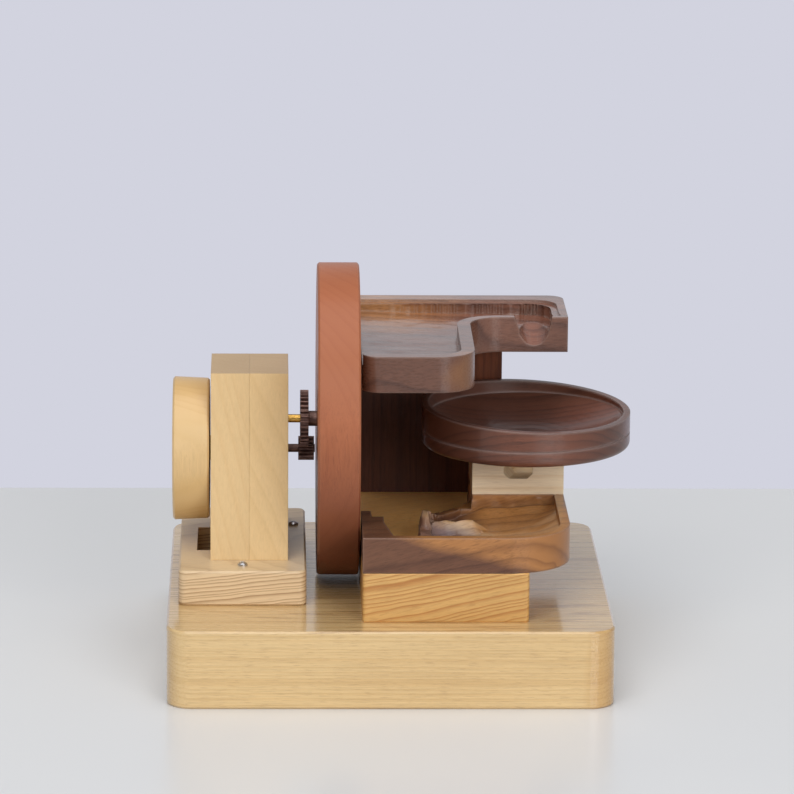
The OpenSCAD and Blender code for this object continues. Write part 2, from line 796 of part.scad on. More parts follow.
module driven_gear() {
    color(dark_gear) difference() {
        union() {
            on_axis(gear_left, wheel_axis) linear_extrude(gear_t) gear_outline(gear_teeth, -tooth_shift, pair_angle);
            shaft_hole(wheel_axis, gear_right, wheel_left, hub_d);
        }
        shaft_hole(wheel_axis, gear_left - past, wheel_left + past, shaft_d);
    }
}

// Collar on a shaft, with a tapped hole for its set screw
module collar(axis) {
    color(steel) difference() {
        shaft_hole(axis, collar_left, collar_right, collar_d);
        shaft_hole(axis, collar_left - past, collar_right + past, shaft_d);
        set_screw_hole(axis);
    }
}

module set_screw_hole(axis) {
    translate([collar_left + collar_w / 2, axis[0], axis[1]]) cylinder(h = collar_d, d = set_screw_d);
}

// Set screw between the shaft and the collar's rim, with a hexagon socket
module set_screw(axis) {
    color(steel) difference() {
        intersection() {
            set_screw_hole(axis);
            shaft_hole(axis, collar_left, collar_right, collar_d - 2 * end_gap);
        }
        shaft_hole(axis, collar_left - past, collar_right + past, shaft_d);
        translate([collar_left + collar_w / 2, axis[0], axis[1] + shaft_d / 2 + 1])
            cylinder(h = collar_d, d = set_screw_d * 0.5, $fn = 6);
    }
}

module wheel_collar() { collar(wheel_axis); }
module wheel_collar_screw() { set_screw(wheel_axis); }

// Hand knob and what turns with it
module hand_knob() {
    color(maple) difference() {
        on_axis(knob_left, drive_axis) eased_disc(knob_r, knob_r - knob_taper, knob_t, edge_ease);
        shaft_hole(drive_axis, knob_right - knob_bore, knob_right + past, shaft_d);
    }
}

module drive_shaft() {
    color(dark_gear) shaft_hole(drive_axis, knob_right - knob_bore, drive_shaft_right, shaft_d);
}

module drive_pinion() {
    color(dark_gear) difference() {
        on_axis(pinion_left, drive_axis) linear_extrude(pinion_t)
            gear_outline(pinion_teeth, tooth_shift, pair_angle + 180 + 180 / pinion_teeth);
        shaft_hole(drive_axis, pinion_left - past, pinion_left + pinion_t + past, shaft_d);
    }
}

module drive_collar() { collar(drive_axis); }
module drive_collar_screw() { set_screw(drive_axis); }

module knob_washer() {
    color(brass) difference() {
        shaft_hole(drive_axis, knob_right, knob_right + washer_t, washer_d);
        shaft_hole(drive_axis, knob_right - past, knob_right + washer_t + past, shaft_d);
    }
}

base_board();
drive_plinth();
plinth_screws();
post_outer_board();
post_inner_board();
post_dowels();
wheel_bush_outer();
wheel_bush_inner();
drive_bush_outer();
drive_bush_inner();
track_block();
track_screws();
lower_tray();
tray_dowels();
back_panel();
panel_foot_dowels();
top_tray();
panel_top_dowels();
bowl_block();
bowl_block_dowels();
bowl();
lift_wheel();
wheel_shaft();
driven_gear();
wheel_collar();
wheel_collar_screw();
hand_knob();
drive_shaft();
drive_pinion();
drive_collar();
drive_collar_screw();
knob_washer();
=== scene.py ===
"""Looks of the wooden marble machine: woods, metals, carved trays, studio light and camera.

Lengths are in metres. A SIZE or GRAIN is the distance over which a noise changes, and a SPAN is the
range of a value over which an effect goes from one end to the other.
"""
import math

import bmesh
import bpy
from mathutils import Matrix, Vector, noise


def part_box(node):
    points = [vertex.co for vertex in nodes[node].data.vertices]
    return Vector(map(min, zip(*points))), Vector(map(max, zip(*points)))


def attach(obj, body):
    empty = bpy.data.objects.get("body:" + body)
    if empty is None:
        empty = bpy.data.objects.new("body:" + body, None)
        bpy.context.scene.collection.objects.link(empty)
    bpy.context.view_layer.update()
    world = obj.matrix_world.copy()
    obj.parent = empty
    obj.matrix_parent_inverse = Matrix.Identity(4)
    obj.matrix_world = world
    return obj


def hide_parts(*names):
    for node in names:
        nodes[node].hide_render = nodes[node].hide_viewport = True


# Camera: matched to the photograph's edges, with angles in radians and the lens in millimetres
CAMERA_PLACE = (-0.05965, -2.37522, 0.68012)
CAMERA_PITCH = 0.229098
CAMERA_YAW = 0.026955
CAMERA_ROLL = 0.008085
CAMERA_LENS = 229.81
CAMERA_SENSOR = 36.0
CAMERA_CLIP = 50.0

# Stage: a pale table up to its far edge, then a cooler backdrop a little lower
FLOOR_HALF = 6.0
FLOOR_EDGE_Y = 0.32
FLOOR_STEP = 0.002
FLOOR_CLOUD_SIZE = (0.3, 0.3, 0.3)
FLOOR_CLOUD_SPAN = (0.35, 0.65)
FLOOR_COLOUR = (232, 233, 233)
FLOOR_CLOUD_COLOUR = (229, 230, 231)
FLOOR_ROUGHNESS = 0.24
FLOOR_GLOSS = 0.4
WALL_COLOUR = (210, 211, 223)

# Light: soft lamps aimed at the machine's middle, and a dim, cool world
AIM = (0.0, 0.0, 0.09)
LAMPS = {
    "key": {"place": (-2.0, -4.8, 4.6), "size": 4.8, "power": 150.0, "colour": (1.0, 0.985, 0.96)},
    "fill": {"place": (2.3, -5.0, 1.9), "size": 3.4, "power": 130.0, "colour": (1.0, 0.995, 0.985)},
    "overhead": {"place": (-0.1, -0.2, 1.8), "size": 1.5, "power": 10.0, "colour": (1.0, 1.0, 1.0)},
    "rear": {"place": (0.35, 5.0, 1.4), "size": 3.0, "power": 5.5, "colour": (0.95, 0.96, 1.0)},
}
WORLD_COLOUR = (0.92, 0.94, 1.0, 1.0)
WORLD_STRENGTH = 0.36

# Wood: the grain's directions, and the sizes of its features, along the grain first
GRAIN_TURN = {"X": (0.0, 0.0, 0.0), "Z": (0.0, math.pi / 2, 0.0)}
GRAIN_AXIS = {"X": (1.0, 0.0, 0.0), "Z": (0.0, 0.0, 1.0)}
UP = (0.0, 0.0, 1.0)
ACROSS = (0.0, 1.0, 1.0)
WANDER_SIZE = 0.022
TINT_SIZE = (0.15, 0.06, 0.06)
FIBRE_SIZE = (0.035, 0.0009, 0.0009)
PORE_SIZE = (0.007, 0.0005, 0.0005)
SAP_WANDER = (0.012, 0.012, 0.012)
# Patches of tone: stains, and on some parts painted light and shade
PATCH_WANDER = (0.03, 0.03, 0.02)
PATCH_CORE = 0.4

# Wood: unevenness of the growth rings, and the places of a ring's colours
YEAR_SCALE = 0.35
YEAR_SHIFT = 2.5
RING_PLACES = (0.0, 0.4, 0.72, 0.88, 1.0)

# Wood: tones, spans and strengths
END_GRAIN = (0.87, 0.83, 0.78, 1.0)
SIDE_SPAN = (0.1, 0.5)
END_SPAN = (0.5, 0.95)
LEVEL_SPAN = (0.5, 0.9)
TINT_SPAN = (0.42, 0.64)
PORE_SPAN = (0.54, 0.68)
VEIN_SPAN = (0.0, 0.028)
NOISE_SPAN = (0.3, 0.7)
NOISE_MIDDLE = 0.5
WOOD_EDGE_SPAN = (0.03, 0.3)
WOOD_PALER = (1.3, 0.03)
WOOD_BUMP = {"Strength": 0.35, "Distance": 0.0002}
WOOD_SMOOTHER = 0.05
WOOD_ROUGHER = 0.07
FIBRE_RELIEF = 0.6
PORE_DULLNESS = 0.3
UPRIGHT_COAT = 0.3
BEVEL_SAMPLES = 4

# Metal: tarnish, tool marks and worn edges
TARNISH_SIZE = (0.004, 0.004, 0.004)
TARNISH_SPAN = (0.4, 0.7)
MARK_SIZE = (0.002, 0.0002, 0.0002)
METAL_EDGE_SIZE = 0.0003
METAL_EDGE_SPAN = (0.02, 0.3)
METAL_WORN = 0.5
METAL_PALER = (1.4, 0.05)
METAL_BUMP = {"Strength": 0.2, "Distance": 0.0001}
METAL_SMOOTHER = 0.08
METAL_ROUGHER = 0.1

# Carving: the gap across which a mesh is closed, the spacing of the cuts, and the largest smooth angle
SEAM = 1e-6
CUT = 0.0014
SMOOTH_ANGLE = math.radians(38)

# Top tray: where its carving lies, from its top and its left end, and which faces it takes
TOP_CUT_DEPTH = 0.012
TOP_LEFT = 0.003
TOP_RIM_DEPTH = 0.0016
TOP_UNDER_DEPTH = 0.0145
TOP_FLOOR_DEPTH = 0.0035
TOP_LEVEL = 0.9
TOP_UPRIGHT = 0.75
LEDGE_REACH = 0.016
LEDGE_END = 0.03
LEDGE_FACING = 0.3

# Top tray: its uneven floor, and the gouge cuts under its ledge
SWELL_HEIGHT = 0.00028
SWELL_GRAIN = 0.014
RIPPLE_HEIGHT = 0.0001
RIPPLE_GRAIN = 0.006
GOUGE_LEFT = 0.016
GOUGE_FADE = 0.01
GOUGE_DEPTH = 0.0016
GOUGE_PITCH = 0.0036
GOUGE_DRIFT = 1.5

# Spout of the top tray: its distance from the right end, half its width, and the depth of the arm it is in
SPOUT_INSET = 0.0165
SPOUT_HALF = 0.0064
ARM_DEPTH = 0.0512

# Flare of the spout: how far it reaches down, sideways, forwards and inwards, its size and its raggedness
FLARE_HEIGHT = 0.011
FLARE_REACH = 0.014
FLARE_FRONT = 0.001
FLARE_INWARD = 0.012
FLARE_FADE = 0.006
FLARE_SIZE = 0.0024
FLARE_RAGGED = 0.6
FLARE_GRAIN = 0.003
FLARE_SEED = 7.0

# Lower tray: how far its carving keeps from the edges, and which faces it takes
LOWER_EDGE = 0.004
LOWER_RIGHT = 0.003
LOWER_UNDER = 0.0012
LOWER_RIM = 0.0016
LOWER_LEVEL = 0.8

# Lower tray: the step's right side and top, the basin's floor and back, and its wall and corner
STEP_RIGHT = 0.0285
STEP_SLACK = 0.002
STEP_TOP = 0.0095
BASIN_FLOOR = 0.0045
BASIN_RISE = 0.0612
BASIN_BACK = 0.0827
BASIN_FACING = 0.5
TRAY_WALL = 0.0045
TRAY_CORNER = 0.03

# Lower tray: lumps near the step, a floor with dips, and rough walls
LUMP_LEFT = 0.03
LUMP_FADE = 0.02
LUMP_HEIGHT = 0.0022
LUMP_GRAIN = 0.006
DIP_HEIGHT = 0.0005
DIP_GRAIN = 0.011
ROUGH_RIGHT = 0.011
ROUGH_FRONT = 0.009
ROUGH_DEPTH = 0.0012
ROUGH_GRAIN = 0.0055

# Scarp in the basin: its left end, length, end, place behind the front, height, slopes and unevenness
SCARP_LEFT = 0.032
SCARP_LENGTH = 0.028
SCARP_PAST = 0.002
SCARP_END = 0.009
SCARP_DEPTH = 0.05
SCARP_HEIGHT = 0.0075
SCARP_FALL = 0.25
SCARP_RUN = 0.004
SCARP_FADE = 0.013
SCARP_WANDER = 0.004
SCARP_WANDER_GRAIN = (0.007, 0.01)
SCARP_LUMPS = 0.25
SCARP_GRAIN = 0.007

# Cove round the basin: where it begins, how far out and up it reaches, and the slack at the walls
COVE_LEFT = 0.046
COVE_START = 0.014
COVE_REACH = 0.016
COVE_HEIGHT = 0.0042
COVE_SLACK = 0.0003

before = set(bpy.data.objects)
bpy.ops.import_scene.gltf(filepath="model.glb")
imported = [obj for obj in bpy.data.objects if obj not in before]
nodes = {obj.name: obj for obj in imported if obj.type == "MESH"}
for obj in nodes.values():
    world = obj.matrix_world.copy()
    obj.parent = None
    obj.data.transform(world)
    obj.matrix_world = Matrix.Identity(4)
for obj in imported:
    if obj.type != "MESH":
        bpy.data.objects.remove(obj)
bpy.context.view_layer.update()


def srgb(red, green, blue):
    """Linear colour of 8-bit display values."""
    def linear(value):
        share = value / 255
        if share <= 0.04045:
            return share / 12.92
        return ((share + 0.055) / 1.055) ** 2.4
    return (linear(red), linear(green), linear(blue), 1.0)


def paler(colour, gain, lift):
    """A colour made lighter, up to white."""
    return tuple(min(1.0, value * gain + lift) for value in colour[:3]) + (1.0,)


def clamp(value):
    """A value kept between 0 and 1."""
    return min(1.0, max(0.0, value))


class Graph:
    """A material's node tree, with short calls for the nodes used here."""

    def __init__(self, name):
        self.material = bpy.data.materials.new(name)
        self.material.use_nodes = True
        self.tree = self.material.node_tree
        self.shader = self.tree.nodes["Principled BSDF"]

    def add(self, kind, inputs=None, **settings):
        """A new node with its settings and inputs."""
        node = self.tree.nodes.new("ShaderNode" + kind)
        for key, value in settings.items():
            setattr(node, key, value)
        for key, value in (inputs or {}).items():
            self.feed(node.inputs[key], value)
        return node

    def feed(self, socket, value):
        """Links a socket, or sets a constant directly on it."""
        if isinstance(value, bpy.types.NodeSocket):
            self.tree.links.new(value, socket)
        else:
            socket.default_value = value

    def surface(self, name, value):
        """Feeds one input of the material's shader."""
        self.feed(self.shader.inputs[name], value)

    def math(self, operation, first, second=0.0):
        return self.add("Math", {0: first, 1: second}, operation=operation).outputs[0]

    def vector(self, operation, first, second=(0.0, 0.0, 0.0)):
        node = self.add("VectorMath", {0: first, 1: second}, operation=operation)
        return node.outputs["Value" if operation in ("LENGTH", "DOT_PRODUCT", "DISTANCE") else "Vector"]

    def object_normal(self):
        """The face's own normal, turned with its piece."""
        world = self.add("NewGeometry").outputs["Normal"]
        turn = self.add("VectorTransform", {0: world}, vector_type="NORMAL",
                        convert_from="WORLD", convert_to="OBJECT")
        return turn.outputs[0]

    def facing(self, normal, direction):
        """How squarely a normal lies along a direction, either way."""
        return self.math("ABSOLUTE", self.vector("DOT_PRODUCT", normal, direction))

    def noise(self, vector, size, detail=2.0, roughness=0.5, output="Fac"):
        """Noise that changes over a size along each axis."""
        scaled = self.vector("DIVIDE", vector, size)
        inputs = {"Vector": scaled, "Scale": 1.0, "Detail": detail, "Roughness": roughness}
        return self.add("TexNoise", inputs).outputs[output]

    def span(self, value, low, high, to_low=0.0, to_high=1.0):
        """A value's place between two limits, carried over to two others."""
        inputs = {"Value": value, "From Min": low, "From Max": high, "To Min": to_low, "To Max": to_high}
        return self.add("MapRange", inputs, clamp=True).outputs["Result"]

    def ramp(self, value, stops):
        """A colour read from stops, each a place and its colour."""
        node = self.add("ValToRGB", {"Fac": value})
        bands = node.color_ramp.elements
        while len(bands) < len(stops):
            bands.new(0.5)
        for band, (place, colour) in zip(bands, stops):
            band.position = place
            band.color = colour
        return node.outputs["Color"]

    def grey(self, value):
        """A value as an even colour."""
        return self.add("CombineColor", {0: value, 1: value, 2: value}).outputs[0]

    def mix(self, share, first, second, blend="MIX"):
        node = self.add("Mix", data_type="RGBA", blend_type=blend)
        self.feed(node.inputs["Factor"], share)
        self.feed(node.inputs["A"], first)
        self.feed(node.inputs["B"], second)
        return node.outputs["Result"]

    def toned(self, share, colour, tone):
        """A colour multiplied by a tone, as far as the share says."""
        return self.mix(share, colour, self.mix(1.0, colour, tone, "MULTIPLY"))

    def edges(self, size):
        """The normal with edges rounded, and how far the rounding bends it."""
        rounded = self.add("Bevel", {"Radius": size}, samples=BEVEL_SAMPLES).outputs["Normal"]
        face = self.add("NewGeometry").outputs["Normal"]
        bent = self.math("SUBTRACT", 1.0, self.vector("DOT_PRODUCT", rounded, face))
        return rounded, bent

    def bump(self, settings, height, normal):
        """Gives the shader a normal bent by a height."""
        node = self.add("Bump", {**settings, "Height": height, "Normal": normal})
        self.surface("Normal", node.outputs["Normal"])


def ring_phase(graph, along, offset, heart, ring, warp):
    """Place within a growth ring, from 0 to 1, round a log's middle and with uneven years."""
    bent = graph.vector("ADD", along, graph.vector("MULTIPLY", offset, (0.0, warp, warp)))
    from_heart = graph.vector("SUBTRACT", bent, (0.0, heart[0], heart[1]))
    radius = graph.vector("LENGTH", graph.vector("MULTIPLY", from_heart, ACROSS))
    years = graph.math("DIVIDE", radius, ring)
    uneven = graph.add("TexNoise", {"W": years, "Scale": YEAR_SCALE, "Detail": 1.0}, noise_dimensions="1D")
    shift = graph.math("MULTIPLY", uneven.outputs["Fac"], YEAR_SHIFT)
    return graph.math("FRACT", graph.math("ADD", years, shift))


def patched(graph, colour, place, offset, sap, patches):
    """A colour with sapwood and patches, whose borders wander; the patches are stains, and on some parts
    painted light and shade.
    """
    if sap:
        direction, start, width, sapwood = sap
        wavy = graph.vector("ADD", place, graph.vector("MULTIPLY", offset, SAP_WANDER))
        reach = graph.vector("DOT_PRODUCT", wavy, direction)
        colour = graph.toned(graph.span(reach, start, start + width), colour, sapwood)
    # Each patch is a stain, or on some parts painted light or painted shade
    for middle, reach, patch_tone in patches:
        wavy = graph.vector("ADD", place, graph.vector("MULTIPLY", offset, PATCH_WANDER))
        away = graph.vector("DISTANCE", wavy, middle)
        colour = graph.toned(graph.span(away, reach, PATCH_CORE * reach), colour, patch_tone)
    return colour


def wood(name, early, late, pore, grain="X", slope=(0.0, 0.0), heart=(0.02, -0.3), ring=0.003,
         warp=0.004, waviness=0.05, streak=0.1, pores=0.5, veins=None, tint=(0.9, 0.88, 0.84, 1.0),
         sap=None, patches=(), level=None, calm=0.0, gloss=0.5, roughness=0.4, coat=0.3,
         coat_roughness=0.2, edge=0.18, edge_size=0.0006, worn=None, end=END_GRAIN):
    """Wood cut from a log: growth rings, fibres, pores, veins, a broad tint, stains and pale worn edges,
    with painted light and shade where asked.

    grain is the log's axis, slope tilts it, and heart places the log's middle across the grain.
    ring is a year's width, which warp and waviness disturb, and streak is the fibres' contrast.
    veins are the strength and size of dark lines on level faces.
    sap is a direction, the distance along it where other wood begins, the width of the change and its tone.
    patches are the places, reaches and tones of stains, and of painted light and shade. level is a tone for
    level faces that paints light on them, and those faces are then more polished than the others, and calm
    fades the rings there. worn is the colour of pale edges, which stand for wear and on some parts also
    paint a highlight along the edges, as strong as edge says and as wide as edge_size, and end is the tone
    of end grain.
    """
    graph = Graph(name)
    place = graph.add("TexCoord").outputs["Object"]
    flat = graph.object_normal()
    end_grain = graph.facing(flat, GRAIN_AXIS[grain])
    side_grain = graph.span(end_grain, *SIDE_SPAN, 1.0, 0.0)
    lying = graph.facing(flat, UP)
    turned = graph.add("Mapping", {"Vector": place, "Rotation": GRAIN_TURN[grain]}).outputs["Vector"]
    tilt = (0.0, slope[0], slope[1])
    along = graph.add("Mapping", {"Vector": turned, "Rotation": tilt}).outputs["Vector"]

    wander_size = (waviness, WANDER_SIZE, WANDER_SIZE)
    wander = graph.noise(along, wander_size, detail=3.0, roughness=0.55, output="Color")
    offset = graph.vector("SUBTRACT", wander, (NOISE_MIDDLE, NOISE_MIDDLE, NOISE_MIDDLE))
    middle = tuple((a + b) / 2 for a, b in zip(early, late))
    phase = ring_phase(graph, along, offset, heart, ring, warp)
    colour = graph.ramp(phase, list(zip(RING_PLACES, (early, early, middle, late, early))))
    if calm:
        colour = graph.mix(graph.math("MULTIPLY", lying, calm), colour, middle)

    tones = graph.noise(along, TINT_SIZE, output="Color")
    broad = graph.add("SeparateColor", {0: tones}).outputs[0]
    colour = graph.toned(graph.span(broad, *TINT_SPAN), colour, tint)
    colour = patched(graph, colour, place, offset, sap, patches)
    # The level tone is painted light on level faces
    if level:
        colour = graph.toned(graph.span(lying, *LEVEL_SPAN), colour, level)
    if veins:
        strength, size = veins
        lines = graph.noise(along, size, roughness=0.55)
        near = graph.math("ABSOLUTE", graph.math("SUBTRACT", lines, NOISE_MIDDLE))
        vein_mask = graph.math("MULTIPLY", graph.span(near, *VEIN_SPAN, strength, 0.0), lying)
        colour = graph.mix(vein_mask, colour, pore)

    fibre = graph.noise(along, FIBRE_SIZE, detail=3.0, roughness=0.6)
    dashes = graph.noise(along, PORE_SIZE)
    pore_mask = graph.math("MULTIPLY", graph.span(dashes, *PORE_SPAN, 0.0, pores), side_grain)
    shade = graph.grey(graph.span(fibre, *NOISE_SPAN, 1.0 - streak, 1.0 + streak))
    colour = graph.toned(side_grain, colour, shade)
    colour = graph.mix(pore_mask, colour, pore)
    colour = graph.toned(graph.span(end_grain, *END_SPAN), colour, end)

    rounded, bent = graph.edges(edge_size)
    # Pale edges: wear, and on some parts a painted highlight along the edges as well
    rubbed_and_lit = graph.span(bent, *WOOD_EDGE_SPAN, 0.0, edge)
    graph.surface("Base Color", graph.mix(rubbed_and_lit, colour, worn or paler(early, *WOOD_PALER)))
    ridges = graph.math("MULTIPLY", graph.math("MULTIPLY", fibre, FIBRE_RELIEF), side_grain)
    graph.bump(WOOD_BUMP, graph.math("SUBTRACT", ridges, pore_mask), rounded)
    dull = graph.math("MULTIPLY", pore_mask, PORE_DULLNESS)
    sheen = graph.span(fibre, *NOISE_SPAN, roughness - WOOD_SMOOTHER, roughness + WOOD_ROUGHER)
    graph.surface("Roughness", graph.math("ADD", sheen, dull))
    graph.surface("Specular IOR Level", gloss)
    if level:
        graph.surface("Coat Weight", graph.span(lying, *LEVEL_SPAN, UPRIGHT_COAT * coat, coat))
    else:
        graph.surface("Coat Weight", coat)
    graph.surface("Coat Roughness", coat_roughness)
    return graph.material


def metal(name, colour, tarnish, roughness, metallic=1.0):
    """Turned metal: fine tool marks, cloudy tarnish and a bright worn edge."""
    graph = Graph(name)
    place = graph.add("TexCoord").outputs["Object"]
    cloud = graph.noise(place, TARNISH_SIZE, detail=3.0, roughness=0.6)
    marks = graph.noise(place, MARK_SIZE, roughness=0.6)
    rounded, bent = graph.edges(METAL_EDGE_SIZE)
    worn = graph.span(bent, *METAL_EDGE_SPAN, 0.0, METAL_WORN)
    base = graph.mix(graph.span(cloud, *TARNISH_SPAN), colour, tarnish)
    graph.surface("Base Color", graph.mix(worn, base, paler(colour, *METAL_PALER)))
    sheen = graph.span(marks, *NOISE_SPAN, roughness - METAL_SMOOTHER, roughness + METAL_ROUGHER)
    graph.surface("Roughness", sheen)
    graph.bump(METAL_BUMP, marks, rounded)
    graph.surface("Metallic", metallic)
    return graph.material


def dress(names, material):
    """Gives the nodes one material."""
    for name in names:
        mesh = nodes[name].data
        mesh.materials.clear()
        mesh.materials.append(material)


def dress_pale_woods():
    """Base, plinth, blocks, post, knob and dowels."""
    dress(["base_board"], wood(
        "oak_base", srgb(219, 187, 133), srgb(210, 175, 119), srgb(146, 106, 64), heart=(0.03, -0.42),
        ring=0.0024, warp=0.003, waviness=0.2, streak=0.07, pores=0.3, veins=(0.66, (0.25, 0.0085, 0.5)),
        tint=(0.95, 0.93, 0.9, 1.0), roughness=0.28, coat=1.0, coat_roughness=0.1,
        sap=((0.707, -0.707, 0.0), 0.1365, 0.005, (0.86, 0.76, 0.62, 1.0))))
    dress(["track_block"], wood(
        "oak_block", srgb(216, 171, 104), srgb(184, 126, 64), srgb(150, 100, 52), slope=(0.2, 0.05),
        heart=(-0.03, -0.25), ring=0.0024, warp=0.005, waviness=0.05, streak=0.08, pores=0.25, calm=0.85,
        # The level tone makes the top much lighter: painted light on the bay floor, which lies in shade
        level=(1.85, 2.0, 2.2, 1.0)))
    dress(["drive_plinth"], wood(
        "maple_plinth", srgb(224, 196, 156), srgb(170, 135, 97), srgb(150, 116, 82), slope=(0.09, 0.02),
        heart=(-0.02, -0.25), ring=0.0019, warp=0.004, waviness=0.05, streak=0.05, pores=0.15, calm=0.75,
        # The level tone lightens the plinth's top: painted light
        level=(1.15, 1.2, 1.2, 1.0)))
    dress(["post_outer_board"], wood(
        "maple_post_outer", srgb(217, 185, 133), srgb(214, 180, 127), srgb(182, 144, 98), grain="Z",
        heart=(0.3, -0.2), ring=0.004, warp=0.003, waviness=0.5, streak=0.05, pores=0.15,
        end=(0.8, 0.74, 0.66, 1.0)))
    dress(["post_inner_board"], wood(
        "maple_post_inner", srgb(222, 189, 135), srgb(217, 183, 128), srgb(174, 136, 92), grain="Z",
        heart=(-0.25, 0.16), ring=0.004, warp=0.003, waviness=0.5, streak=0.05, pores=0.15,
        end=(0.8, 0.74, 0.66, 1.0)))
    dress(["hand_knob"], wood(
        "maple_knob", srgb(217, 183, 129), srgb(213, 178, 122), srgb(172, 132, 86), grain="Z",
        heart=(0.2, 0.06), ring=0.005, warp=0.003, waviness=0.3, streak=0.05, pores=0.15,
        end=(1.0, 0.93, 0.8, 1.0)))
    dress(["bowl_block"], wood(
        "pale_maple_block", srgb(250, 229, 196), srgb(238, 211, 172), srgb(180, 146, 110),
        heart=(0.3, -0.12), ring=0.0032, warp=0.002, streak=0.06, pores=0.2, coat=0.1))
    dress(["post_dowels", "tray_dowels", "panel_foot_dowels", "panel_top_dowels", "bowl_block_dowels"], wood(
        "birch_dowels", srgb(222, 198, 160), srgb(200, 170, 128), srgb(170, 138, 100), grain="Z",
        ring=0.002, coat=0.0, roughness=0.6))


def dress_dark_woods():
    """Trays, bowl, panel and wheel."""
    dress(["lower_tray"], wood(
        "walnut_tray", srgb(114, 78, 58), srgb(95, 63, 47), srgb(64, 41, 30), slope=(0.3, 0.1),
        heart=(-0.2, -0.1), ring=0.009, warp=0.012, waviness=0.08, streak=0.12, pores=0.3,
        # The level tone lightens level faces: painted light
        tint=(0.85, 0.8, 0.8, 1.0), level=(1.1, 1.1, 1.0, 1.0),
        sap=((0.3, 0.0, 0.954), 0.0745, 0.006, (2.8, 2.9, 1.75, 1.0)),
        # Pale, cool patch near the front of the basin: painted highlight
        patches=[((0.031, -0.043, 0.069), 0.021, (1.3, 1.9, 3.3, 1.0))],
        # The pale worn edges also paint a highlight along them
        gloss=0.3, coat=0.6, coat_roughness=0.12, edge=0.6, edge_size=0.0016, worn=srgb(186, 154, 136)))
    dress(["top_tray"], wood(
        "walnut_top", srgb(104, 70, 56), srgb(82, 54, 44), srgb(54, 35, 27), slope=(0.06, 0.2),
        heart=(-0.3, -0.1), ring=0.009, warp=0.012, waviness=0.08, streak=0.14, pores=0.3,
        # The level tone lightens level faces: painted light standing for their sheen
        tint=(0.8, 0.76, 0.76, 1.0), level=(1.4, 1.25, 1.2, 1.0),
        patches=[((-0.014, 0.066, 0.157), 0.055, (2.6, 2.8, 1.6, 1.0)),
                 ((0.056, 0.056, 0.155), 0.05, (1.5, 1.5, 1.5, 1.0)),
                 ((0.041, -0.047, 0.149), 0.016, (1.6, 1.6, 1.1, 1.0))],
        # The pale worn edges also paint a highlight along them
        gloss=0.4, roughness=0.28, coat=0.8, coat_roughness=0.13, edge=0.6, edge_size=0.0016,
        worn=srgb(176, 148, 136)))
    dress(["bowl"], wood(
        "dark_walnut_bowl", srgb(94, 58, 45), srgb(78, 48, 38), srgb(40, 26, 22), slope=(0.05, 0.0),
        heart=(-0.12, -0.1), ring=0.006, warp=0.006, streak=0.16, pores=0.3,
        patches=[((0.075, -0.036, 0.112), 0.034, (1.5, 1.35, 1.2, 1.0)),
                 # Darker patch on the bowl's floor: painted shade in its hollow
                 ((0.067, 0.014, 0.103), 0.042, (0.66, 0.6, 0.6, 1.0)),
                 # Pale patch on the right inner wall: painted reflection
                 ((0.098, 0.02, 0.108), 0.03, (1.7, 1.55, 1.5, 1.0))],
        # The pale worn edges also paint a highlight along the rim
        gloss=0.35, coat=0.45, coat_roughness=0.14, edge=0.65, edge_size=0.0022, worn=srgb(172, 152, 146)))
    dress(["back_panel"], wood(
        "dark_walnut_panel", srgb(86, 49, 35), srgb(72, 40, 30), srgb(36, 22, 17), grain="Z",
        heart=(0.12, -0.3), ring=0.006, streak=0.15, pores=0.3, gloss=0.2, coat=0.15,
        # Painted light on the panel's lit strip
        patches=[((0.045, 0.07, 0.143), 0.035, (2.7, 2.5, 2.0, 1.0))]))
    dress(["lift_wheel"], wood(
        "padauk_wheel", srgb(172, 103, 69), srgb(168, 99, 66), srgb(108, 60, 44), grain="Z",
        heart=(0.2, -0.2), ring=0.005, warp=0.003, waviness=0.5, streak=0.08, pores=0.3,
        # Darker towards the wheel's bottom: painted shade, which also reads as darker heartwood
        patches=[((-0.024, -0.03, 0.03), 0.112, (0.32, 0.26, 0.28, 1.0))],
        # The end-grain tone lightens the rim where it faces up and down: painted light. The pale worn edges
        # also paint a highlight
        gloss=0.3, coat=0.1, edge=0.5, worn=srgb(214, 160, 130), end=(1.12, 1.1, 1.08, 1.0)))


def dress_metals():
    """Brass, steel and the brown gear pair."""
    dress(["wheel_shaft", "wheel_bush_outer", "wheel_bush_inner", "drive_bush_outer", "drive_bush_inner",
           "knob_washer"], metal("brass", srgb(226, 180, 96), srgb(176, 130, 62), 0.26))
    dress(["plinth_screws", "track_screws", "wheel_collar", "wheel_collar_screw", "drive_collar",
           "drive_collar_screw"], metal("steel", srgb(206, 207, 210), srgb(160, 160, 164), 0.25))
    dress(["driven_gear", "drive_shaft", "drive_pinion"],
          metal("bronzed", srgb(136, 106, 97), srgb(98, 74, 67), 0.42, metallic=0.6))


def cut_across(work, axis, low, high):
    """Cuts a mesh by evenly spaced planes across one axis."""
    normal = Vector((0.0, 0.0, 0.0))
    normal[axis] = 1.0
    for step in range(1, int((high - low) / CUT) + 1):
        everything = work.verts[:] + work.edges[:] + work.faces[:]
        place = normal * (low + step * CUT)
        bmesh.ops.bisect_plane(work, geom=everything, dist=SEAM, plane_co=place, plane_no=normal)


